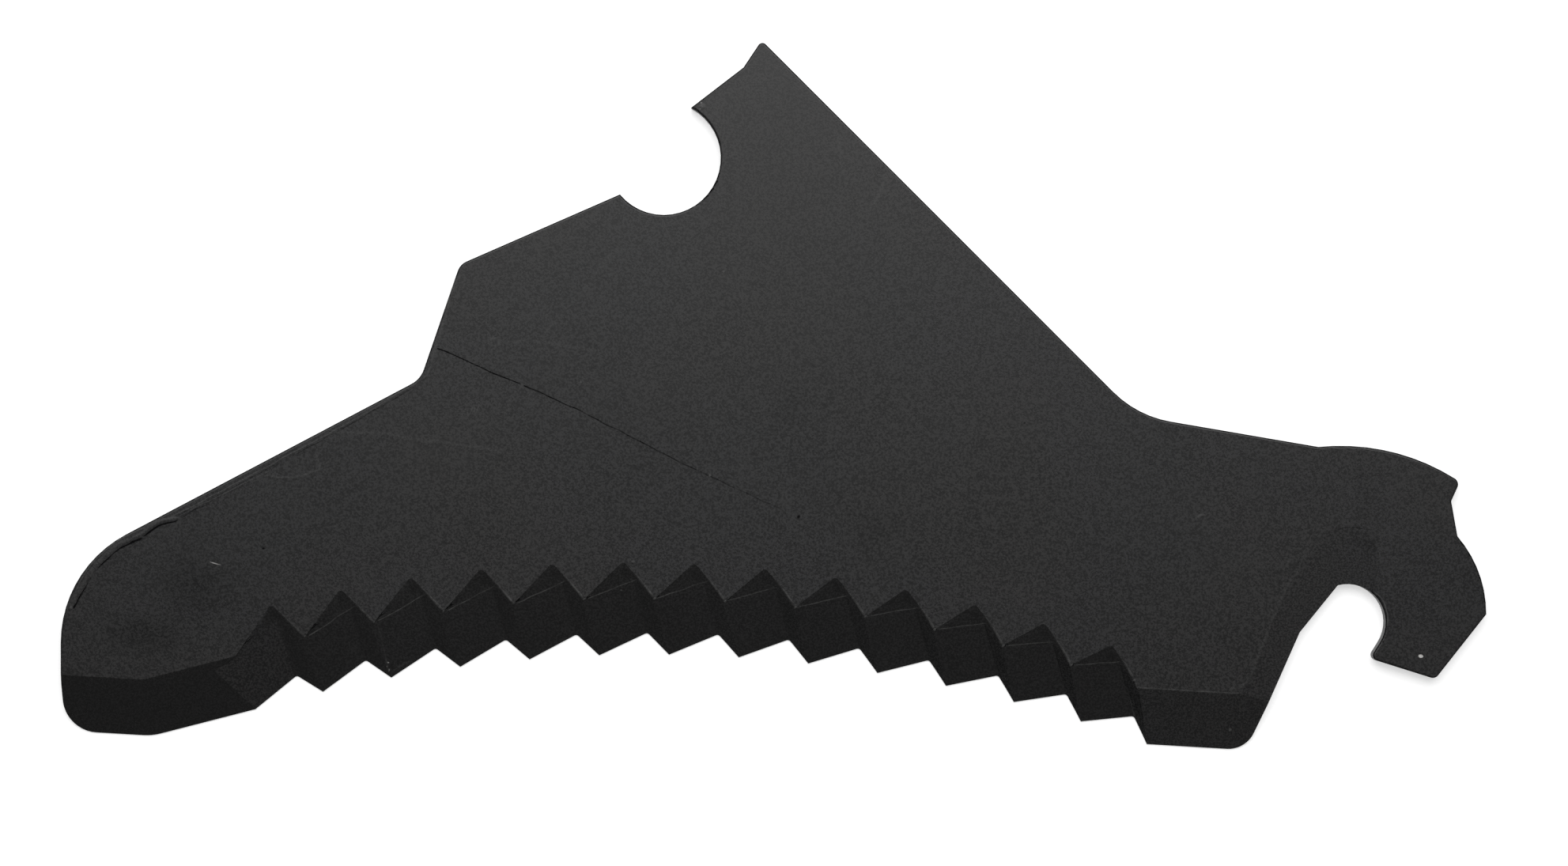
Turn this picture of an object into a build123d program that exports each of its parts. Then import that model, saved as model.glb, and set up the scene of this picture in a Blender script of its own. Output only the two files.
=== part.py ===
import os
from math import acos, cos, degrees, radians, sin, sqrt

from build123d import *

# Loader wagon knife: one flat steel plate, serrated and ground on one side only.
# The origin is the centre of the hook seat on the flat back face. X runs along the
# knife away from the nose, Y towards the spur and Z up through the plate.

# Plate
plate_thickness = 5.0
edge_land = 0.4  # thickness left along the cutting edge
rolled_edge = 0.8  # radius along the top edge of the blank

# Serrated edge, on an arc that is hollow towards the ground
tooth_count = 13
tooth_pitch = 24.55  # from tip to tip along the arc
tip_arc_radius = 505.0
last_tip_x = -70.0
last_tip_y = -43.1
last_tip_slope = 20.35  # how far the arc has turned down at the last tip
valley_step = 16.98  # from a tip along the arc to its valley
valley_depth = 7.7
grind_margin = 5.0  # how far the plain edges run on past the first and the last tip

# Ground facets of the serration
bevel_width = 20.0
facet_height = 4.4  # height of the ridge at the top of a lower facet
crest_length = 20.5  # from a tip back and up to its crest on the top face
crest_angle = 106.5
crest_turn = 0.3  # how far each crest leans less than the one before
root_lean = 8.4  # from a valley back and up to the root on the top face
root_rise = 25.4
root_radius = 1.3
wall_bow = 1.2  # how far the last wall bows away from its root, from none at the first

# Nose, from the first tip to the shank
nose_rise_length = 37.5
nose_rise_angle = 14.4
nose_sole_length = 30.5
nose_sole_angle = -3.3
nose_lean = 0.9
nose_lean_height = 20.5
nose_heel_radius = 12.0
nose_brow_rise = 36.642  # from the lean up to the corner of the brow
nose_brow_radius = 43.0
nose_step_radius = 21.0

# Roller notch with its finger and spur
notch_radius = 20.0
notch_x = -239.8
notch_y = 162.9
finger_angle = 23.6
finger_drop = 5.6  # from the notch centre down to the line of the finger
finger_length = 80.4
lip_angle = 37.5
lip_rise = 8.1  # from the notch centre up to the line of the lip
lip_length = 41.5
spur_angle = 56.3
spur_length = 11.5
spur_radius = 1.7

# Shank between the finger and the brow of the nose, which it meets at the crook
shank_angle = 71.0
shank_root_radius = 5.7
crook_radius = 9.0
brow_angle = 27.8

# Back of the knife
diagonal_angle = -45.0
diagonal_length = 186.3
back_radius = 37.5
crown_radius = 75.0
crown_start_x = -10.0
crown_start_y = 61.5
crown_end_x = 39.5
crown_end_y = 49.3
crown_end_radius = 2.5

# Hook around the seat
seat_radius = 13.4
dent_inset = 3.1  # from the end of the crown
dent_drop = 6.8
dent_foot_out = 2.2
dent_foot_drop = 12.3
dent_radius = 1.5
hook_back_out = 10.1
hook_back_drop = 27.4
hook_back_radius = 41.4
hook_slope_inset = 17.9
hook_slope_drop = 22.7
hook_toe_radius = 2.4
lip_overhang = 1.5
hook_lip_angle = -58.3
hook_lip_radius = 2.0

# Throat between the hook and the heel
throat_knee_x = -16.7
throat_knee_y = -3.5
throat_angle = 51.0
heel_length = 34.9
heel_angle = -3.4
heel_radius = 9.5

# Shallow relief ground above the throat
relief_depth = 0.5
relief_lean = 2.2
relief_rise = 20.3
relief_side_angle = 74.0  # of the step at the relief's end above the seat

overcut = 0.5  # how far a cutter reaches past the face that it opens
relief_overrun = 1.5  # length of the relief's cutter, in lengths of its slope
flank_reach = 3.5  # length of a groove cutter's long arm, in flanks of a tooth
wall_reach = 1.4  # and of its short arm, in walls of a tooth
groove_drop = 60.0  # how far a groove's cutter reaches below its root
bevel_overrun = 8.0  # how far a bevel's cutter runs past the ends of its edge
clear_of_plate = 12.0  # how far an open cutter reaches below the knife


def heading(angle):
    return Vector(cos(radians(angle)), sin(radians(angle)))


def on_arc(radius, run):
    """The point at a radius about the centre of the tips' arc, a run along it before the last tip."""
    angle = last_tip_slope - degrees(run / tip_arc_radius)
    return arc_centre + heading(90 - angle) * radius


def meet(point, direction, other_point, other_direction):
    """Where a line through one point crosses a line through another."""
    turn = direction.X * other_direction.Y - direction.Y * other_direction.X
    gap = other_point - point
    return point + direction * ((gap.X * other_direction.Y - gap.Y * other_direction.X) / turn)


def between(start, end, share):
    return start + (end - start) * share


# Tips and valleys of the cutting edge, from the nose to the heel
last_tip = Vector(last_tip_x, last_tip_y)
arc_centre = last_tip - heading(90 - last_tip_slope) * tip_arc_radius
tips = [on_arc(tip_arc_radius, step * tooth_pitch) for step in range(tooth_count, -1, -1)]
valleys = [
    on_arc(tip_arc_radius + valley_depth, step * tooth_pitch - valley_step) for step in range(tooth_count, 0, -1)
]
crest_runs = [heading(crest_angle - step * crest_turn) * crest_length for step in range(tooth_count + 1)]
root_run = Vector(-root_lean, root_rise)

# Corners of the nose
nose_step = tips[0] - heading(nose_rise_angle) * nose_rise_length
nose_heel = nose_step - heading(nose_sole_angle) * nose_sole_length
nose_side = nose_heel + Vector(-nose_lean, nose_lean_height)
brow = nose_side + Vector(0, nose_brow_rise)

# Corners of the finger, the notch and the spur
seat = Vector(0, 0)
notch = Vector(notch_x, notch_y)
finger_line = heading(finger_angle)
under_notch = notch - finger_line.rotate(Axis.Z, 90) * finger_drop
finger_root = under_notch - finger_line * finger_length
lip_line = heading(lip_angle)
over_notch = notch + lip_line.rotate(Axis.Z, 90) * lip_rise
spur_shoulder = over_notch + lip_line * lip_length
spur_peak = spur_shoulder + heading(spur_angle) * spur_length
crook = meet(finger_root, heading(shank_angle), brow, heading(brow_angle))
back_corner = spur_peak + heading(diagonal_angle) * diagonal_length

# Corners of the hook and the throat
crown_start = Vector(crown_start_x, crown_start_y)
crown_end = Vector(crown_end_x, crown_end_y)
dent = crown_end - Vector(dent_inset, dent_drop)
hook_back = dent + Vector(dent_foot_out, -dent_foot_drop)
hook_shoulder = hook_back + Vector(hook_back_out, -hook_back_drop)
hook_toe = hook_shoulder - Vector(hook_slope_inset, hook_slope_drop)
hook_lip = heading(hook_lip_angle) * (seat_radius + lip_overhang)
lip_touch = heading(hook_lip_angle + degrees(acos(seat_radius / (seat_radius + lip_overhang)))) * seat_radius
throat_knee = Vector(throat_knee_x, throat_knee_y)
throat_line = heading(throat_angle)
throat_foot = throat_knee - throat_line * throat_knee.dot(throat_line)
throat_top = throat_foot + throat_line * sqrt(seat_radius ** 2 - throat_foot.length ** 2)
heel = tips[-1] + heading(heel_angle) * heel_length
nose_end = tips[0] + heading(nose_rise_angle) * grind_margin
heel_start = tips[-1] - heading(heel_angle) * grind_margin
below_heel = heel + (heel - throat_knee).normalized() * clear_of_plate
seat_side = seat + Vector(seat_radius, 0)
relief_run = Vector(-relief_lean, relief_rise)
below_seat = Vector(seat_side.X, below_heel.Y)


def corner(shape, point):
    """The corner of a sketch that lies nearest to a point."""
    return shape.vertices().sort_by_distance(point)[0]


def region(points):
    """The flat region inside a closed run of corners."""
    with BuildSketch() as shape:
        with BuildLine():
            Polyline(*points, close=True)
        make_face()
    return shape.sketch


with BuildSketch() as outline:
    with BuildLine():
        Polyline(brow, nose_side, nose_heel, nose_step, nose_end)
        RadiusArc(nose_end, heel_start, tip_arc_radius)
        Polyline(heel_start, heel, throat_knee, throat_top)
        RadiusArc(throat_top, lip_touch, seat_radius)
        Polyline(lip_touch, hook_lip, hook_toe, hook_shoulder)
        RadiusArc(hook_shoulder, hook_back, -hook_back_radius)
        Polyline(hook_back, dent, crown_end)
        RadiusArc(crown_end, crown_start, -crown_radius)
        Polyline(crown_start, back_corner, spur_peak, spur_shoulder, over_notch)
        Polyline(over_notch, under_notch, finger_root, crook, brow)
    make_face()
    with Locations(notch):
        Circle(notch_radius, mode=Mode.SUBTRACT)
    rounded = [
        (brow, nose_brow_radius),
        (nose_heel, nose_heel_radius),
        (nose_step, nose_step_radius),
        (heel, heel_radius),
        (hook_lip, hook_lip_radius),
        (hook_toe, hook_toe_radius),
        (dent, dent_radius),
        (crown_end, crown_end_radius),
        (back_corner, back_radius),
        (spur_peak, spur_radius),
        (finger_root, shank_root_radius),
        (crook, crook_radius),
    ]
    for point, radius in rounded:
        fillet(corner(outline, point), radius)


def groove_section(index, height):
    """The root, the left end and the right end of a groove's V at a height."""
    valley, left_tip, right_tip = valleys[index], tips[index], tips[index + 1]
    rise = (max(height, edge_land) - edge_land) / (plate_thickness - edge_land)
    wall_foot = valley + root_run * rise
    wall_crest = right_tip + crest_runs[index + 1] * rise
    if height <= facet_height:
        flank = (left_tip - valley).normalized()
        facet_rise = (max(height, edge_land) - edge_land) / (facet_height - edge_land)
        facet_foot = valley + flank.rotate(Axis.Z, -90) * bevel_width * facet_rise
        root = meet(facet_foot, flank, wall_foot, wall_crest - wall_foot)
        left = root + (left_tip - valley) * flank_reach
    else:
        ridge = groove_section(index, facet_height)
        share = (height - facet_height) / (plate_thickness - facet_height)
        top_root = valley + root_run
        top_left = top_root + (left_tip + crest_runs[index] - top_root) * flank_reach
        root = between(ridge[0], top_root, share)
        left = between(ridge[1], top_left, share)
    right = root + (wall_crest - wall_foot) * wall_reach
    return root, left, right


def bevel_section(corners, height):
    """Section of a straight bevel's cutter at a height, under one stretch of the edge or more."""
    rise = (height - edge_land) / (plate_thickness - edge_land)
    lines = [(end - start).normalized() for start, end in zip(corners, corners[1:])]
    inward = [line.rotate(Axis.Z, 90) * bevel_width * rise for line in lines]
    section = [corners[0] + inward[0] - lines[0] * bevel_overrun]
    for step in range(1, len(lines)):
        before, after = corners[step] + inward[step - 1], corners[step] + inward[step]
        section.append(meet(before, lines[step - 1], after, lines[step]))
    section.append(corners[-1] + inward[-1] + lines[-1] * bevel_overrun)
    outside = Vector(0, -clear_of_plate - bevel_width)
    return [*section, section[-1] + outside, section[0] + outside]


# Shallow relief above the throat: the opening, carried up a slope into the top face
with BuildPart() as relief:
    with BuildSketch(Plane.XY.offset(plate_thickness - relief_depth)):
        with BuildLine():
            RadiusArc(throat_top, seat_side, seat_radius)
            Polyline(seat_side, below_seat, below_heel, throat_knee, throat_top)
        make_face()
    slope = relief_run + Vector(0, 0, relief_depth)
    extrude(amount=slope.length * relief_overrun, dir=slope)
    split(bisect_by=Plane(seat_side + relief_run, z_dir=heading(relief_side_angle - 90)), keep=Keep.BOTTOM)

with BuildPart() as knife_blade:
    with BuildSketch():
        add(outline.sketch)
    extrude(amount=plate_thickness)

    # The top edge is rolled all round by the blanking, and the back edge is left square
    fillet(faces().sort_by(Axis.Z)[-1].outer_wire().edges(), rolled_edge)

    add(relief.part, mode=Mode.SUBTRACT)

    # Bevels of the nose and the heel, as wide as those of the teeth
    for corners in ([nose_heel, nose_step, tips[0]], [tips[-1], heel]):
        for height in (edge_land - overcut, plate_thickness + overcut):
            with BuildSketch(Plane.XY.offset(height)):
                add(region(bevel_section(corners, height)))
        loft(ruled=True, mode=Mode.SUBTRACT)

    # Serration, one lofted groove for each valley
    for index in range(tooth_count):
        for height in (-overcut, edge_land, facet_height, plate_thickness + overcut):
            root, left, right = groove_section(index, height)
            bow = wall_bow * (index + 1) / tooth_count * max(height, edge_land) / plate_thickness
            with BuildSketch(Plane.XY.offset(height)) as section:
                with BuildLine():
                    Polyline(root, left, root - Vector(0, groove_drop), right)
                    SagittaArc(right, root, -bow)
                make_face()
                fillet(corner(section, root + Vector(0, 0, height)), root_radius)
        loft(ruled=True, mode=Mode.SUBTRACT)

knife_blade.part.label = "knife_blade"
os.makedirs("parts", exist_ok=True)
export_step(knife_blade.part, "parts/knife_blade.step")
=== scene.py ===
import math

import bmesh
import bpy
from mathutils import Matrix, Vector, noise
from mathutils.bvhtree import BVHTree


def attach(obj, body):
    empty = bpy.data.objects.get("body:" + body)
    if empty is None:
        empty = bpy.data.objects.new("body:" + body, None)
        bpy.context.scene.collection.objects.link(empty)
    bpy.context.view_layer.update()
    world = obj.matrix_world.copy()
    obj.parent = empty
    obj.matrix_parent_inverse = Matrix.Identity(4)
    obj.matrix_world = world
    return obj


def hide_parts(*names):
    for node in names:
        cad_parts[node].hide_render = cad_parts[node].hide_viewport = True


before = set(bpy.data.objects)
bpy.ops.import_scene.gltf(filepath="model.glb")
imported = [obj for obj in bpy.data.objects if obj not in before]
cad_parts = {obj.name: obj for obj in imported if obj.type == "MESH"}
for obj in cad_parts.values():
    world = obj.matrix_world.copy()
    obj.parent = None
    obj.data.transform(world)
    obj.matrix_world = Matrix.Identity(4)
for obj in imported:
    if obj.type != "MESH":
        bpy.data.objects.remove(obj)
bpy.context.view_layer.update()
mm = 0.001
print("frame loaded")


# A socket in a material, so that shader maths reads as an expression
class Wire:
    def __init__(self, board, socket):
        self.board = board
        self.socket = socket

    def calc(self, operation, *others, first=None):
        values = [self, *others] if first is None else [first, self]
        return self.board.node("ShaderNodeMath", {"operation": operation}, values)

    def __add__(self, other):
        return self.calc("ADD", other)

    def __sub__(self, other):
        return self.calc("SUBTRACT", other)

    def __mul__(self, other):
        return self.calc("MULTIPLY", other)

    def __radd__(self, other):
        return self.calc("ADD", other)

    def __rsub__(self, other):
        return self.calc("SUBTRACT", first=other)

    def __rmul__(self, other):
        return self.calc("MULTIPLY", other)


# A new material and its nodes
class Board:
    def __init__(self, name):
        self.material = bpy.data.materials.new(name)
        self.material.use_nodes = True
        self.tree = self.material.node_tree
        self.tree.nodes.clear()

    def node(self, kind, settings=None, values=None, out=0):
        made = self.tree.nodes.new(kind)
        for name, value in (settings or {}).items():
            setattr(made, name, value)
        pairs = values.items() if isinstance(values, dict) else enumerate(values or [])
        for key, value in pairs:
            if isinstance(value, Wire):
                self.tree.links.new(value.socket, made.inputs[key])
            else:
                made.inputs[key].default_value = value
        return Wire(self, made.outputs[out]) if len(made.outputs) else made

    def vector(self, operation, *values):
        return self.node("ShaderNodeVectorMath", {"operation": operation}, values)

    def carried(self, name):
        return self.node("ShaderNodeAttribute", {"attribute_name": name}, out=2)

    # 1 below near, 0 above far, with a soft step between them
    def fade(self, value, near, far):
        limits = {"Value": value, "From Min": near, "From Max": far, "To Min": 1.0, "To Max": 0.0}
        return self.node("ShaderNodeMapRange", {"interpolation_type": "SMOOTHSTEP"}, limits)

    def noise(self, place, scale, detail, roughness):
        limits = {"Vector": place, "Scale": scale, "Detail": detail, "Roughness": roughness}
        return self.node("ShaderNodeTexNoise", {}, limits)

    def mix(self, factor, first, second):
        return self.node("ShaderNodeMix", {"data_type": "RGBA"}, {0: factor, 6: first, 7: second}, out=2)


# Blade: the plate, on which each face knows how it was ground and how much painted shade it gets.
# Lengths are in metres, and how upright a face is means the z of its normal
blade = {
    "faceUpright": 0.99995,  # more upright than this was never ground
    "reliefUpright": 0.9996,
    "facetUpright": 0.981,
    "wallUpright": 0.94,  # a wall that leans more than this gets more painted shade
    "groundUpright": 0.90,  # a face that leans more is a wall or an edge
    "softUpright": 0.70,  # the side of the plate is shaded smooth
    "sideUpright": 0.50,  # a face that leans more is the side of the plate
    "brim": (0.15, 0.86),  # how upright the outer part of the rounded edge is, which gets painted shade
    "wallLean": -0.10,  # the walls of the grooves face left
    "ridgeLean": -0.05,
    "softWidth": 0.0007,  # narrower faces belong to a rounded edge
    "weld": 0.000002,
    "flatTurn": 0.5,  # degrees
    "cornerTurn": 25.0,  # degrees
    "leastRidge": 2.5,  # degrees
    "shortestRidge": 0.0006,
    # painted shade on the brim of the rounded edge and on steep walls
    "brimPaintedShade": 0.90,
    "wallPaintedShade": 0.70,
    "wallGain": 5.0,
    "toothStart": -0.38,
    "noseEnd": -0.392,
    "noseRidgeEnd": -0.378,
    "heelStart": -0.075,
    "wallEnd": -0.067,  # the last groove's wall runs on past the heel's start
    "bevelTop": -0.018,  # the bevels of nose and heel lie below this
    "arcCentre": (-0.2456, -0.5166),
    "arcRadius": 0.505,
    "groundReach": 0.040,  # how far in from the tips the grinding reaches
    # above 1 a face is smoother still, and below 0 it is rougher than the flat face
    "grind": {"face": 0.0, "relief": 0.10, "facet": 0.85, "nose": 1.7, "wall": 1.3, "heel": -1.0},
    "shallowGain": 100.0,  # how much darker a facet is for leaning less
}


def isGround(place):
    if place.x < blade["toothStart"] or place.x > blade["heelStart"]:
        return place.y < blade["bevelTop"]
    return math.dist((place.x, place.y), blade["arcCentre"]) - blade["arcRadius"] < blade["groundReach"]


def isWall(face):
    middle = face.calc_center_median()
    if not blade["noseEnd"] < middle.x < blade["wallEnd"] or not isGround(middle):
        return False
    return face.normal.z > blade["sideUpright"] and face.normal.x < blade["wallLean"]


def grindOf(face):
    upright = face.normal.z
    middle = face.calc_center_median()
    grind = blade["grind"]
    if isWall(face):
        return grind["wall"]
    if not blade["groundUpright"] <= upright <= blade["faceUpright"]:
        return grind["face"]
    if upright > blade["reliefUpright"]:
        return grind["relief"]
    if not isGround(middle):
        return grind["face"]
    if middle.x < blade["noseEnd"]:
        return grind["nose"]
    if middle.x > blade["heelStart"]:
        return grind["heel"]
    return grind["facet"] + max(0.0, upright - blade["facetUpright"]) * blade["shallowGain"]


# Painted shade: the steep walls of the grooves and the outer brim of the rounded edge are painted darker
def paintedShadeOf(face):
    if isWall(face):
        return min(blade["wallPaintedShade"], max(0.0, blade["wallUpright"] - face.normal.z) * blade["wallGain"])
    least, most = blade["brim"]
    return blade["brimPaintedShade"] if least < face.normal.z < most else 0.0


# A ridge is where ground metal meets the flat face
def ridgeOf(edge):
    flat, steep = sorted((face.normal for face in edge.link_faces), key=lambda normal: -normal.z)
    middle = (edge.verts[0].co + edge.verts[1].co) / 2
    if flat.z < blade["faceUpright"] or steep.z < blade["sideUpright"] or not isGround(middle):
        return None
    if edge.calc_length() < blade["shortestRidge"]:
        return None
    if middle.x > blade["heelStart"]:
        return "heelRidge"
    if middle.x < blade["noseRidgeEnd"]:
        return "noseRidge"
    return "wallRidge" if steep.x < blade["ridgeLean"] else None


# Joins the edges that hang together into ridges, each with its points in millimetres from left to right
def findRidges(shape):
    leastTurn = math.radians(blade["leastRidge"])
    ends = {}
    for edge in shape.edges:
        if len(edge.link_faces) == 2 and edge.is_convex and edge.calc_face_angle() > leastTurn:
            kind = ridgeOf(edge)
            if kind:
                for vert in edge.verts:
                    ends.setdefault((kind, vert), []).append(edge)
    ridges = []
    while ends:
        kind, vert = next(iter(ends))
        waiting, found = [vert], {}
        while waiting:
            vert = waiting.pop()
            found[vert] = vert.co.copy()
            for edge in ends.pop((kind, vert), []):
                other = edge.other_vert(vert)
                if (kind, other) in ends:
                    waiting.append(other)
        line = sorted(found.values(), key=lambda place: place.x)
        ridges.append((kind, [(place.x / mm, place.y / mm) for place in line]))
    return ridges


def makeBlade():
    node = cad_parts["knife_blade"]
    shape = bmesh.new()
    shape.from_mesh(node.data)
    bmesh.ops.remove_doubles(shape, verts=shape.verts, dist=blade["weld"])
    flatTurn = math.radians(blade["flatTurn"])
    bmesh.ops.dissolve_limit(shape, angle_limit=flatTurn, verts=shape.verts, edges=shape.edges)
    shape.normal_update()
    grind = shape.faces.layers.float.new("grind")
    dim = shape.faces.layers.float.new("dim")
    for face in shape.faces:
        face[grind] = grindOf(face)
        face[dim] = paintedShadeOf(face)
        width = 2 * face.calc_area() / face.calc_perimeter()
        face.smooth = width < blade["softWidth"] or abs(face.normal.z) < blade["softUpright"]
    cornerTurn = math.radians(blade["cornerTurn"])
    for edge in shape.edges:
        edge.smooth = len(edge.link_faces) == 2 and edge.calc_face_angle() < cornerTurn
    ridges = findRidges(shape)
    mesh = bpy.data.meshes.new("bladeSteel")
    shape.to_mesh(mesh)
    shape.free()
    piece = bpy.data.objects.new("bladeSteel", mesh)
    bpy.context.scene.collection.objects.link(piece)
    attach(piece, "root")
    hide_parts("knife_blade")
    print("blade made:", len(mesh.polygons), "faces,", len(ridges), "ridges")
    return piece, ridges


# Paint: black satin dip paint. The pieces carry how far it is ground over, rubbed, dimmed or chipped,
# and the painted highlights and painted shade that these colours also stand for
paint = {
    "shade": (0.0085, 0.0083, 0.0085),
    "warm": (0.0100, 0.0082, 0.0074),
    "cool": (0.0078, 0.0080, 0.0098),
    "ground": (0.0050, 0.0048, 0.0048),
    # the rubbed colour is also the painted highlight along ridges, rims, rolled edges and runs
    "rubbedAndHighlit": (0.070, 0.070, 0.068),
    # the dimmed colour is also the painted shade on steep walls, edges and creases
    "dimmed": (0.0018, 0.0018, 0.0020),
    # the chipped colour also paints the highlights on the lip bead
    "chippedAndGlint": (0.62, 0.61, 0.59),
    "evenness": 0.7,  # how much of the warm and cool tint the plain shade covers
    # scale, detail and roughness of each noise, over millimetres
    "grain": (1.5, 2.0, 0.6),
    "cloud": (0.022, 3.0, 0.55),
    "tint": (0.012, 2.0, 0.5),
    "tintShift": (310.0, 90.0, 0.0),
    "patches": (0.4, 3.0, 0.7),
    "patchDepth": 0.5,
    # where each noise turns from one side to the other
    "grainTurn": (0.42, 0.58),
    "tintTurn": (0.42, 0.58),
    "patchTurn": (0.35, 0.60),
    "grainShade": 0.7,
    "speckle": 0.24,  # how much of the sheen the dark grains lose
    "sheen": 0.57,
    "hollowSheen": 0.05,  # of the dull dark paint that is painted shade in creases, on steep walls and on edges, and that also shows in dark grains and smudges
    "fullDim": 1.2,  # from here on only the hollow paint shows
    "roughness": 0.43,
    "hollowRoughness": 0.6,
    # how far each of these changes the roughness
    "rougher": {"grain": 0.42, "cloud": 0.12, "dim": -0.12, "ground": -0.06, "rubbedAndHighlit": 0.06},
    "swell": {"grain": 0.030, "cloud": 0.04},  # millimetres
}


def solid(colour):
    return (*colour, 1.0)


def makePaint():
    board = Board("bladePaint")
    place = board.node("ShaderNodeTexCoord", out=3)  # the object's own coordinates
    place = board.vector("MULTIPLY", place, (1 / mm, 1 / mm, 1 / mm))
    grain = board.noise(place, *paint["grain"])
    cloud = board.noise(place, *paint["cloud"])
    tint = board.noise(board.vector("ADD", place, paint["tintShift"]), *paint["tint"])
    patches = board.fade(board.noise(place, *paint["patches"]), *paint["patchTurn"])
    darkGrain = board.fade(grain, *paint["grainTurn"])
    grind, dim, bareAndGlint = board.carried("grind"), board.carried("dim"), board.carried("bareAndGlint")
    # rubbed paint, and painted highlights along ridges, rims, rolled edges and runs
    rubAndHighlight = board.carried("rubAndHighlight") * (1.0 - patches * paint["patchDepth"])

    shade = board.mix(board.fade(tint, *paint["tintTurn"]), solid(paint["warm"]), solid(paint["cool"]))
    shade = board.mix(paint["evenness"], shade, solid(paint["shade"]))
    shade = board.mix(darkGrain * paint["grainShade"], shade, solid(paint["dimmed"]))
    for factor, colour in ((grind, "ground"), (rubAndHighlight, "rubbedAndHighlit"), (dim, "dimmed"), (bareAndGlint, "chippedAndGlint")):
        shade = board.mix(factor, shade, solid(paint[colour]))

    rougher = paint["rougher"]
    rough = paint["roughness"] + (grain - 0.5) * rougher["grain"] + (cloud - 0.5) * rougher["cloud"]
    rough = rough + dim * rougher["dim"] + grind * rougher["ground"] + rubAndHighlight * rougher["rubbedAndHighlit"]
    swell = grain * paint["swell"]["grain"] + cloud * paint["swell"]["cloud"]
    bump = board.node("ShaderNodeBump", {}, {"Strength": 1.0, "Distance": mm, "Height": swell})
    satin = board.node("ShaderNodeBsdfPrincipled", {}, {
        "Base Color": shade, "Roughness": rough, "Normal": bump, "Specular IOR Level": paint["sheen"]})
    # The hollow paint: dull and dark, painted shade where creases, walls and edges are dimmed, and also
    # dark grains and smudges
    hollow = board.node("ShaderNodeBsdfPrincipled", {}, {
        "Base Color": solid(paint["dimmed"]), "Roughness": paint["hollowRoughness"],
        "Specular IOR Level": paint["hollowSheen"]})
    sunk = board.fade(dim, paint["fullDim"], 0.0) + darkGrain * (1.0 - rubAndHighlight) * paint["speckle"]
    shader = board.node("ShaderNodeMixShader", {}, [sunk, satin, hollow])
    board.node("ShaderNodeOutputMaterial", {}, [shader])
    return board.material


bladeSteel, bladeRidges = makeBlade()
bladePaint = makePaint()
bladeSteel.data.materials.clear()
bladeSteel.data.materials.append(bladePaint)
print("blade painted")
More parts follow.
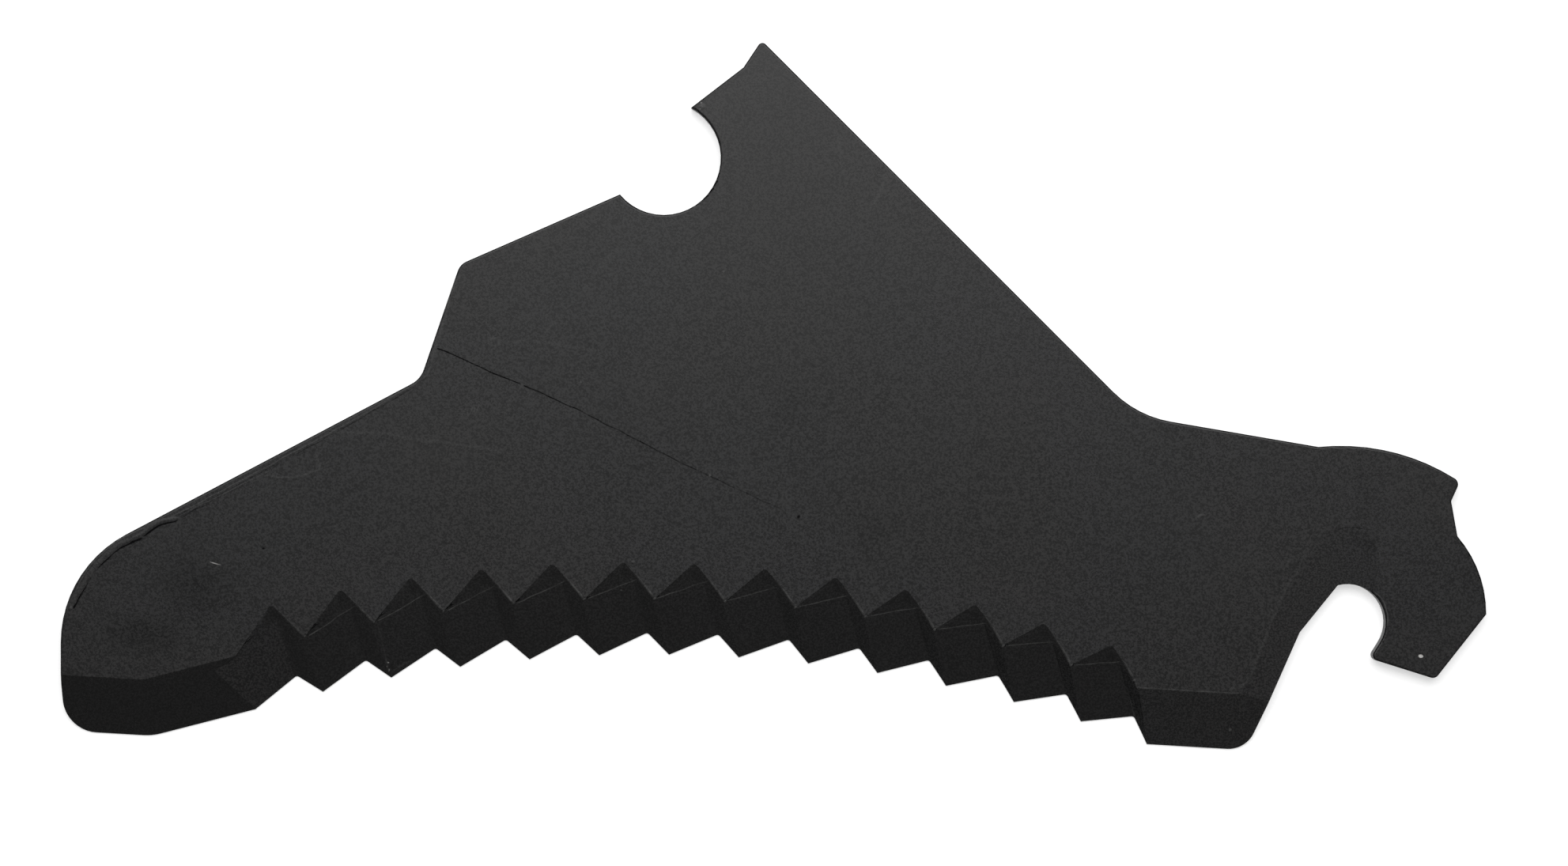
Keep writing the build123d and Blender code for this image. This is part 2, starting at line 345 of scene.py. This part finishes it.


# Marks: runs, smears, scratches and specks in the paint, with painted highlights along ridges, rims and
# runs and painted shade in creases, all in millimetres on the face. Each lies on the plate with the
# plate's own paint and fades out at its sides
marks = {
    "columns": (-1.0, -0.66, -0.33, 0.0, 0.33, 0.66, 1.0),
    "step": 0.6,  # from row to row along a line
    "castFrom": 20.0,  # a corner is dropped onto the plate from this height
    "lift": 0.006,  # of the lowest mark above the face
    "liftStep": 0.0004,  # each smudge and line lies a little higher than the one before
    "sink": 0.002,  # how far the rims of a mark go into the plate
    "taper": 2.0,  # length of a line's fading end
    "endWidth": 0.55,  # share of a line's width that is left at its ends
    "fullness": 0.85,
    "fading": (0.4, 0.35),  # how much a line's strength varies, and the scale of that
    "smudges": {
        # name: centre, size across and along, turn, strength
        "noseSmudge": ((-404.1, 12.4), (36, 44), -20, 0.30),
        "noseShade": ((-423.0, -4.3), (24, 50), 0, 0.32),
        "bellySmudge": ((-165.2, 34.1), (28, 34), 0, 0.16),
        "heartSmudge": ((-194.4, 76.3), (22, 32), 60, 0.16),
        "hookSmudge": ((7.5, 27.4), (11, 15), 90, 0.22),
    },
    "wander": (0.35, 0.2, 7.5),  # how far a line strays, the scale of that, and its own seed
    "rings": 7,
    "spokes": 28,
    "core": 0.02,  # share of a spot's size at its middle
    "bulge": 0.22,  # how uneven a spot's rim is
    "ringBand": (0.6, 0.4, 1.5),  # where a ring runs across its spot, how wide and how sharp
    # painted highlights along the ridges; kind: width, strength at each end
    "ridges": {
        "wallRidge": ((0.60, 1.40), (-0.15, 1.05)),
        "heelRidge": (0.85, (0.65, 0.50)),
        "noseRidge": (0.70, 0.08),
    },
    # painted highlight along the ridge across each tooth
    "facetRidge": (0.55, 0, "rubAndHighlight", (0.85, 0.50)),
    "facetStart": (0.8, 0.0),  # from the valley
    "facetEnd": (0.40, -0.5),  # share of the way down the next ridge, and the shift up from there
    "peakShift": (-0.3, -3.0),  # from the top of a ridge
    "peakShade": ((4.5, 6.0), -50, 0, "dim", 0.24),
    # painted highlight at the valley end of each wall ridge
    "valleyHighlight": ((1.0, 1.6), 40, 0, "rubAndHighlight", 0.90),
    "seeds": {"ridge": 2.3, "facet": 3.1, "valley": 1.9, "peak": 2.9, "line": 3.7, "spot": 5.3},
    # name: points, width, height, attribute, strength
    "lines": {
        # raised paint runs, with painted highlights on them
        "noseRunHighlit": ([(-447.2, 5.7), (-445.2, 9.9), (-442.7, 14.1), (-439.4, 18.8), (-435.8, 23.0),
            (-431.3, 26.8), (-426.3, 29.1)], 2.4, 0.09, "rubAndHighlight", 0.20),
        "browRunHighlit": ([(-426.3, 29.1), (-422.7, 31.0), (-419.1, 33.8), (-415.2, 35.5),
            (-409.7, 36.6)], 2.0, 0.09, "rubAndHighlight", 0.20),
        "slopeRunHighlit": ([(-409.1, 37.4), (-404.7, 39.9), (-398.6, 42.7), (-389.7, 47.1),
            (-377.2, 53.5)], 0.9, 0.02, "rubAndHighlight", 0.10),
        # painted shade in the creases along the runs and the slope
        "noseCreaseShade": ([(-446.9, 4.6), (-443.3, 11.6), (-440.5, 16.6), (-436.9, 20.7), (-430.8, 26.0),
            (-425.8, 28.2), (-422.2, 29.9)], 1.5, 0, "dim", 1.7),
        "browCreaseShade": ([(-422.5, 29.9), (-418.8, 32.7), (-414.7, 34.6),
            (-409.4, 36.0)], 1.2, 0, "dim", 1.6),
        "slopeCreaseShade": ([(-414.7, 35.2), (-400.2, 42.4), (-378.6, 53.8), (-356.3, 65.7), (-339.7, 75.2),
            (-326.3, 83.0)], 0.55, 0, "dim", 0.6),
        "lobeCreaseShade": ([(-408.6, 36.6), (-405.0, 39.1), (-401.9, 40.5),
            (-398.3, 41.8)], 0.8, 0, "dim", (1.1, 0.5)),
        # raised rolls of paint along the edge, with painted highlights on them
        "edgeRollHighlit": ([(-325.8, 84.1), (-339.7, 76.0), (-356.3, 66.6), (-378.6, 54.6), (-400.2, 43.2),
            (-416.1, 35.2), (-425.2, 31.8), (-432.5, 27.7), (-438.6, 22.4), (-443.3, 16.0),
            (-446.6, 9.6), (-448.0, 5.2)], 0.75, 0.02, "rubAndHighlight", (0.30, 0.60)),
        "brimRollHighlit": ([(-321.3, 90.7), (-323.0, 86.8), (-325.8, 84.1)], 1.0, 0.02, "rubAndHighlight", 0.25),
        "shankRollHighlit": ([(-310.8, 122.7), (-314.4, 114.3), (-318.0, 101.8),
            (-321.3, 90.7)], 1.8, 0.04, "rubAndHighlight", 0.30),
        "zigzag": ([(-281.3, 100.5), (-275.2, 108.0), (-270.2, 113.0), (-264.1, 121.3), (-259.1, 127.4),
            (-253.0, 131.0)], 2.8, 0.01, "rubAndHighlight", 0.13),
        "ringTail": ([(-295.2, 98.5), (-284.1, 98.2), (-272.5, 96.3),
            (-260.5, 94.6)], 2.0, 0.01, "rubAndHighlight", 0.13),
        "wipe": ([(-355.0, 66.3), (-339.7, 66.3), (-328.6, 64.1), (-317.5, 63.0), (-306.3, 61.3),
            (-295.2, 59.6)], 1.9, 0.015, "rubAndHighlight", 0.18),
        "wipeTurn": ([(-297.5, 67.1), (-293.8, 76.8), (-287.5, 85.2)], 2.4, 0.01, "rubAndHighlight", 0.10),
        "loop": ([(-379.4, 51.6), (-373.0, 50.7), (-366.9, 51.3), (-362.5, 52.7), (-360.2, 54.1),
            (-361.1, 57.4), (-361.9, 59.9)], 1.3, 0.02, "rubAndHighlight", 0.26),
        "loopTop": ([(-377.2, 54.1), (-371.6, 57.4), (-364.7, 59.9),
            (-361.9, 60.2)], 1.0, 0, "dim", 0.35),
        "chevrons": ([(-310.5, 72.1), (-308.8, 75.2), (-308.3, 72.1), (-306.3, 76.3), (-305.8, 73.5),
            (-303.8, 77.4)], 0.8, 0.01, "rubAndHighlight", 0.32),
        "streakA": ([(-179.1, 171.8), (-177.5, 163.0), (-176.6, 158.8),
            (-175.8, 152.4)], 2.2, 0.01, "rubAndHighlight", 0.14),
        "streakB": ([(-161.3, 156.8), (-164.7, 149.1), (-169.1, 141.8)], 2.0, 0.01, "rubAndHighlight", 0.16),
        "streakC": ([(-186.9, 27.4), (-178.0, 25.7), (-172.5, 23.5)], 2.0, 0.01, "rubAndHighlight", 0.10),
        "tick": ([(-53.6, 36.3), (-51.6, 37.7), (-49.4, 37.7)], 1.1, 0.02, "rubAndHighlight", 0.6),
        # painted highlights along the rim of the relief, and painted glints on it
        "reliefRimHighlight": ([(-41.9, -23.4), (-38.0, -22.9), (-35.0, -20.7), (-32.2, -15.1), (-30.2, -9.0),
            (-26.9, -0.9)], 1.6, 0.02, "rubAndHighlight", 0.26),
        "reliefRimTopHighlight": ([(-26.9, -0.9), (-23.3, 8.2), (-19.1, 16.0)], 1.5, 0.01, "rubAndHighlight", 0.14),
        "reliefGlint": ([(-22.5, 18.0), (-21.1, 20.7), (-19.7, 22.4)], 1.3, 0.02, "rubAndHighlight", 0.4),
        "reliefGlintLow": ([(-19.1, 15.5), (-17.2, 18.0)], 1.5, 0.02, "rubAndHighlight", 0.6),
        "hookShade": ([(3.7, 56.0), (5.3, 45.7), (6.4, 33.8)], 7.0, 0, "dim", 0.18),
        "scratch": ([(-399.1, 21.2), (-396.9, 20.6), (-394.7, 20.0)], 0.5, 0, "bareAndGlint", 0.8),
        "crestRub": ([(-341.1, 2.4), (-339.4, -4.5), (-337.7, -12.0),
            (-336.6, -17.6)], 0.6, 0.01, "rubAndHighlight", (0.14, 0.34)),
        # painted highlight on the lit inner wall of the hook seat
        "seatRimHighlight": ([(8.4, 11.3), (10.9, 9.3), (12.8, 6.3), (13.9, 2.7),
            (13.9, -1.5)], 0.65, 0, "rubAndHighlight", 0.85),
        "reliefTop": ([(-4.7, 31.8), (-1.6, 33.2), (2.5, 33.2), (7.0, 32.7)], 0.7, 0, "dim", 0.55),
        # painted shade along a fine hairline in the paint
        "hairlineShade": ([(-321.3, 97.1), (-306.3, 90.5), (-291.9, 84.3), (-278.6, 78.8), (-265.2, 72.1),
            (-250.8, 64.9), (-236.9, 57.7), (-222.5, 50.7), (-210.5, 45.2),
            (-198.0, 39.3)], 0.75, 0, "dim", (1.3, 0.55)),
        "edgeRub": ([(-335.5, -17.6), (-333.0, -15.9), (-330.5, -14.5),
            (-327.7, -12.9)], 1.2, 0.01, "rubAndHighlight", 0.22),
    },
    # name: centre, size across and along, turn, height, attribute, strength
    "spots": {
        "crestFleckA": ((-339.1, -5.4), (0.6, 1.1), 75, 0, "bareAndGlint", 0.12),
        "crestFleckB": ((-336.9, -14.3), (0.7, 1.5), 5, 0, "bareAndGlint", 0.46),
        "crestFleckC": ((-337.2, -15.7), (0.6, 0.8), 75, 0, "bareAndGlint", 0.26),
        "crestFleckD": ((-336.6, -17.0), (0.7, 1.3), 70, 0, "bareAndGlint", 0.36),
        "edgeFleckA": ((-334.4, -17.0), (0.6, 1.0), 30, 0, "bareAndGlint", 0.30),
        "edgeFleckB": ((-332.7, -15.4), (0.5, 0.6), 80, 0, "bareAndGlint", 0.20),
        "edgeFleckC": ((-331.1, -14.5), (0.5, 1.0), 10, 0, "bareAndGlint", 0.20),
        "edgeFleckD": ((-328.8, -13.7), (0.8, 1.6), 30, 0, "bareAndGlint", 0.32),
        "pitA": ((-380.0, 26.0), (1.3, 1.7), 20, 0, "dim", 0.95),
        "pitB": ((-192.5, 37.1), (1.8, 2.1), 30, 0, "dim", 0.95),
        "pitC": ((-113.3, 69.9), (1.3, 1.4), 0, 0, "dim", 0.8),
        "speckA": ((-223.6, 51.6), (1.1, 1.2), 0, 0.01, "rubAndHighlight", 0.9),
        "speckB": ((-268.8, 84.1), (1.0, 1.0), 0, 0.01, "rubAndHighlight", 0.7),
        "speckC": ((-26.6, 4.1), (1.2, 1.3), 0, 0.01, "rubAndHighlight", 0.6),
        "speckD": ((-218.8, 123.0), (1.3, 1.3), 0, 0.01, "rubAndHighlight", 0.5),
        "speckE": ((-116.6, 106.0), (1.2, 1.2), 0, 0.01, "rubAndHighlight", 0.5),
        "speckF": ((-40.8, -37.9), (1.4, 1.8), 60, 0.02, "rubAndHighlight", 1.0),
        "speckG": ((-355.0, 33.8), (1.0, 1.0), 0, 0.01, "rubAndHighlight", 0.5),
        "speckH": ((32.0, 8.2), (1.0, 1.0), 0, 0.01, "rubAndHighlight", 0.5),
        "speckI": ((-254.7, 11.3), (0.9, 0.9), 0, 0.01, "rubAndHighlight", 0.7),
        "toeChip": ((25.6, -11.8), (1.5, 2.2), -10, 0, "bareAndGlint", 2.2),
        "seatSpeck": ((12.3, -6.8), (0.8, 1.0), 20, 0, "dim", 1.2),
        "crestNib": ((-250.5, 21.0), (1.6, 1.9), 20, 0.09, "rubAndHighlight", 0.15),
        "toothNib": ((-141.6, -0.9), (1.4, 1.7), 70, 0.09, "rubAndHighlight", 0.15),
        "lipNib": ((-226.3, 180.7), (2.4, 2.8), 60, 0.09, "rubAndHighlight", 0.35),
        # painted highlights on the lip bead
        "lipGlintA": ((-226.6, 182.1), (0.5, 1.1), 30, 0, "bareAndGlint", 0.35),
        "lipGlintB": ((-226.9, 179.9), (0.5, 0.9), -30, 0.09, "bareAndGlint", 0.35),
        "sideNib": ((-447.7, 4.9), (1.6, 2.2), 60, 0.09, "rubAndHighlight", 0.35),
        "ring": ((-299.1, 98.2), (4.6, 5.6), 0, 0.02, "ring", 0.28),
    },
}


# A smooth curve through the points
def smoothLine(points, step):
    line = []
    padded = [points[0], *points, points[-1]]
    for before, start, end, after in zip(padded, padded[1:], padded[2:], padded[3:]):
        count = max(2, round((end - start).length / step))
        for turn in range(count):
            t = turn / count
            bend = 2 * before - 5 * start + 4 * end - after
            twist = 3 * start - before - 3 * end + after
            line.append(0.5 * (2 * start + (end - before) * t + bend * t ** 2 + twist * t ** 3))
    return [*line, points[-1]]


def straightLine(points, step):
    line = []
    for start, end in zip(points, points[1:]):
        count = max(1, round((end - start).length / step))
        line += [start.lerp(end, turn / count) for turn in range(count)]
    return [*line, points[-1]]


# A value may be one number, or a number for each end
def between(value, share):
    return value[0] + (value[1] - value[0]) * share if isinstance(value, tuple) else value


def sway(point, scale, seed):
    return noise.noise(Vector((point.x * scale, point.y * scale, seed)))


# How far the smudges dim the paint at a point
def smudgeAt(point):
    deepest = 0.0
    for centre, size, turn, strength in marks["smudges"].values():
        offset = point - Vector(centre)
        offset.rotate(Matrix.Rotation(math.radians(-turn), 2))
        reach = math.hypot(offset.x / size[1] * 2, offset.y / size[0] * 2)
        if reach < 1:
            deepest = max(deepest, strength * (1 - reach * reach) ** 2)
    return deepest


class MarkMaker:
    def __init__(self, plate):
        self.shape = bmesh.new()
        layers = self.shape.verts.layers
        self.layers = {name: layers.float.new(name) for name in ("rubAndHighlight", "dim", "bareAndGlint", "grind")}
        self.upright = layers.float_vector.new("upright")
        self.lift = marks["lift"]
        self.down = Vector((0, 0, -1))
        source = bmesh.new()
        source.from_mesh(plate.data)
        bmesh.ops.triangulate(source, faces=source.faces)
        self.tree = BVHTree.FromBMesh(source)
        grindLayer = source.faces.layers.float["grind"]
        self.grinds = [face[grindLayer] for face in source.faces]
        source.free()

    # One corner of a mark. Without a rise it is a rim, which goes into the plate
    def corner(self, point, rise, lean, attribute, strength):
        start = Vector((point.x * mm, point.y * mm, marks["castFrom"] * mm))
        hit, normal, index, _ = self.tree.ray_cast(start, self.down)
        if hit is None:
            return None
        height = -marks["sink"] if rise is None else self.lift + rise
        vert = self.shape.verts.new(hit + Vector((0, 0, height * mm)))
        vert[self.upright] = (normal + lean.to_3d()).normalized()
        vert[self.layers["grind"]] = self.grinds[index]
        vert[self.layers["dim"]] = smudgeAt(point)
        vert[self.layers[attribute]] = max(strength, vert[self.layers[attribute]])
        return vert

    # Corners beyond the plate are None, and no face is made there
    def sheet(self, rows):
        for before, after in zip(rows, rows[1:]):
            for one, two, three, four in zip(before, before[1:], after[1:], after):
                corners = [vert for vert in (one, two, three, four) if vert]
                if len(corners) == 4:
                    self.shape.faces.new(corners)

    def line(self, seed, points, width, height, attribute, strength, straight=False):
        self.lift += marks["liftStep"]
        makePath = straightLine if straight else smoothLine
        path = makePath([Vector(point) for point in points], marks["step"])
        wander, wanderScale, wanderSeed = marks["wander"]
        fading, fadingScale = marks["fading"]
        length = sum((end - start).length for start, end in zip(path, path[1:]))
        taper = min(marks["taper"], length / 3)
        rows = []
        for turn, point in enumerate(path):
            share = turn / (len(path) - 1)
            ends = min(1.0, share * length / taper, (1 - share) * length / taper)
            fullness = marks["fullness"] + fading * sway(point, fadingScale, seed)
            fullness = ends * fullness * between(strength, share)
            along = (path[min(turn + 1, len(path) - 1)] - path[max(turn - 1, 0)]).normalized()
            across = Vector((-along.y, along.x))
            middle = point
            if not straight:
                middle = point + across * sway(point, wanderScale, seed + wanderSeed) * wander
            row = []
            for side in marks["columns"]:
                crown = (1 - side * side) ** 2
                spread = between(width, share) / 2 * between((marks["endWidth"], 1.0), ends)
                rise = None if abs(side) == 1 or ends == 0 else height * crown * ends
                lean = across * (4 * side * (1 - side * side) * height * ends / spread)
                place = middle + across * side * spread
                row.append(self.corner(place, rise, lean, attribute, crown * fullness))
            rows.append(row)
        self.sheet(rows)

    def spot(self, seed, centre, size, turn, height, attribute, strength, even=False):
        ringed = attribute == "ring"
        ringAt, ringWidth, ringEdge = marks["ringBand"]
        middle = Vector(centre)
        rows = []
        for ring in range(marks["rings"] + 1):
            share = ring / marks["rings"]
            crown = (1 - share * share) ** 2
            if ringed:
                crown = max(0.0, 1 - abs(share - ringAt) / ringWidth) ** ringEdge
            row = []
            for spoke in range(marks["spokes"]):
                angle = math.tau * spoke / marks["spokes"]
                along, across = math.cos(angle), math.sin(angle)
                bulge = 1.0 if even else 1 + marks["bulge"] * noise.noise(Vector((along, across, seed)))
                reached = max(share, marks["core"])
                place = Vector((along * size[1] / 2, across * size[0] / 2)) * bulge * reached
                place.rotate(Matrix.Rotation(math.radians(turn), 2))
                rise = None if ring == marks["rings"] else height * crown
                slope = 4 * share * (1 - share * share) * height / (place.length / reached)
                lean = place.normalized() * slope
                layer = "rubAndHighlight" if ringed else attribute
                row.append(self.corner(middle + place, rise, lean, layer, strength * crown))
            rows.append([*row, row[0]])
        self.sheet(rows)

    def finish(self, name, material):
        shape = self.shape
        loose = [vert for vert in shape.verts if not vert.link_faces]
        bmesh.ops.delete(shape, geom=loose, context="VERTS")
        bmesh.ops.recalc_face_normals(shape, faces=shape.faces)
        for face in shape.faces:
            if face.normal.z < 0:
                face.normal_flip()
        mesh = bpy.data.meshes.new(name)
        shape.to_mesh(mesh)
        shape.free()
        mesh.shade_smooth()
        upright = mesh.attributes["upright"]
        mesh.normals_split_custom_set_from_vertices([item.vector for item in upright.data])
        mesh.attributes.remove(upright)
        mesh.materials.append(material)
        piece = bpy.data.objects.new(name, mesh)
        bpy.context.scene.collection.objects.link(piece)
        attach(piece, "root")
        print("paint marks made:", len(mesh.polygons), "faces")


maker = MarkMaker(bladeSteel)
seeds = marks["seeds"]
for centre, size, turn, _ in marks["smudges"].values():
    maker.lift += marks["liftStep"]
    maker.spot(0.0, centre, size, turn, 0, "dim", 0.0, even=True)
# A painted highlight along each ridge
for number, (kind, points) in enumerate(bladeRidges):
    width, strength = marks["ridges"][kind]
    maker.line(number * seeds["ridge"], points, width, 0, "rubAndHighlight", strength, straight=True)
walls = sorted(points for kind, points in bladeRidges if kind == "wallRidge")
# The ridge across a tooth runs from its valley to the next tooth's wall, and gets a painted highlight
for number, (before, after) in enumerate(zip(walls, walls[1:])):
    peak, valley = Vector(after[0]), Vector(after[-1])
    share, below = marks["facetEnd"]
    start = Vector(before[-1]) + Vector(marks["facetStart"])
    end = peak.lerp(valley, share) + Vector((0, below))
    maker.line(number * seeds["facet"], [start, end], *marks["facetRidge"])
# A painted highlight at each valley, and painted shade below each peak
for number, points in enumerate(walls):
    maker.spot(number * seeds["valley"], points[-1], *marks["valleyHighlight"])
    peak = Vector(points[0]) + Vector(marks["peakShift"])
    maker.spot(number * seeds["peak"], peak, *marks["peakShade"])
for number, line in enumerate(marks["lines"].values()):
    maker.line(number * seeds["line"], *line)
for number, spot in enumerate(marks["spots"].values()):
    maker.spot(number * seeds["spot"], *spot)
maker.finish("paintMarks", bladePaint)

# Studio floor: a pale dish, white to the camera, that keeps a faint shadow
floorLook = {
    "rings": (0.0, 0.6, 1.4, 2.6),  # metres from the middle, on the flat part
    "bend": 1.5,
    "bendSteps": 12,
    "spokes": 64,
    "weld": 0.0001,
    "drop": 0.0002,
    "middle": (-0.2, 0.07),
    "shade": 0.80,
    "glow": 0.55,
}


def makeFloor():
    shape = bmesh.new()
    profile = [(reach, 0.0) for reach in floorLook["rings"]]
    bend = floorLook["bend"]
    for step in range(floorLook["bendSteps"]):
        angle = math.tau / 4 * (step + 1) / floorLook["bendSteps"]
        profile.append((floorLook["rings"][-1] + bend * math.sin(angle), bend * (1 - math.cos(angle))))
    line = [shape.verts.new((reach, 0, rise)) for reach, rise in profile]
    edges = [shape.edges.new(pair) for pair in zip(line, line[1:])]
    bmesh.ops.spin(shape, geom=line + edges, cent=(0, 0, 0), axis=(0, 0, 1), angle=math.tau,
                   steps=floorLook["spokes"])
    bmesh.ops.remove_doubles(shape, verts=shape.verts, dist=floorLook["weld"])
    bmesh.ops.recalc_face_normals(shape, faces=shape.faces)
    mesh = bpy.data.meshes.new("floor")
    shape.to_mesh(mesh)
    shape.free()
    mesh.shade_smooth()
    floor = bpy.data.objects.new("floor", mesh)
    floor.location = (*floorLook["middle"], -floorLook["drop"])
    bpy.context.scene.collection.objects.link(floor)
    board = Board("floorWhite")
    camera = board.node("ShaderNodeLightPath")
    glossy = board.node("ShaderNodeLightPath", out=3)
    through = board.node("ShaderNodeLightPath", out=6)
    seen = camera.calc("MAXIMUM", glossy).calc("MAXIMUM", through)
    matt = board.node("ShaderNodeBsdfDiffuse", {}, {"Color": (*[floorLook["shade"]] * 3, 1.0)})
    glow = board.node("ShaderNodeEmission", {}, {"Color": (1, 1, 1, 1), "Strength": floorLook["glow"]})
    both = board.node("ShaderNodeAddShader", {}, [matt, glow])
    mixed = board.node("ShaderNodeMixShader", {}, [seen, matt, both])
    board.node("ShaderNodeOutputMaterial", {}, [mixed])
    mesh.materials.append(board.material)


makeFloor()

# Studio light: one broad soft box beyond the spur, and a weak even fill
studio = {
    "fill": 0.16,
    "boxSize": (1.9, 1.2),
    "boxPlace": (-0.20, 0.86, 1.22),
    "boxAim": (-0.2, 0.05, 0.0),
    "boxPower": 21.6,
}


def makeLights():
    world = bpy.data.worlds.new("room")
    bpy.context.scene.world = world
    world.use_nodes = True
    backdrop = world.node_tree.nodes["Background"]
    backdrop.inputs["Color"].default_value = (1, 1, 1, 1)
    backdrop.inputs["Strength"].default_value = studio["fill"]
    box = bpy.data.lights.new("softBox", "AREA")
    box.shape = "RECTANGLE"
    box.size, box.size_y = studio["boxSize"]
    box.energy = studio["boxPower"]
    lamp = bpy.data.objects.new("softBox", box)
    lamp.location = studio["boxPlace"]
    bpy.context.scene.collection.objects.link(lamp)
    lamp.rotation_euler = (Vector(studio["boxAim"]) - lamp.location).to_track_quat("-Z", "Y").to_euler()


makeLights()

# Camera: straight above the middle of the picture
view = {
    "middle": (-0.1976, 0.0664),
    "plane": 0.0025,
    "height": 1.10,  # above that plane
    "frameWidth": 0.55083,  # metres across the picture, at that plane
    "sensor": 36.0,
}


def makeCamera():
    lens = bpy.data.cameras.new("above")
    lens.sensor_width = view["sensor"]
    lens.lens = view["sensor"] * view["height"] / view["frameWidth"]
    camera = bpy.data.objects.new("above", lens)
    camera.location = (*view["middle"], view["plane"] + view["height"])
    bpy.context.scene.collection.objects.link(camera)
    bpy.context.scene.camera = camera


makeCamera()
bpy.context.scene.view_settings.view_transform = "Standard"
print("stage, light and camera set")
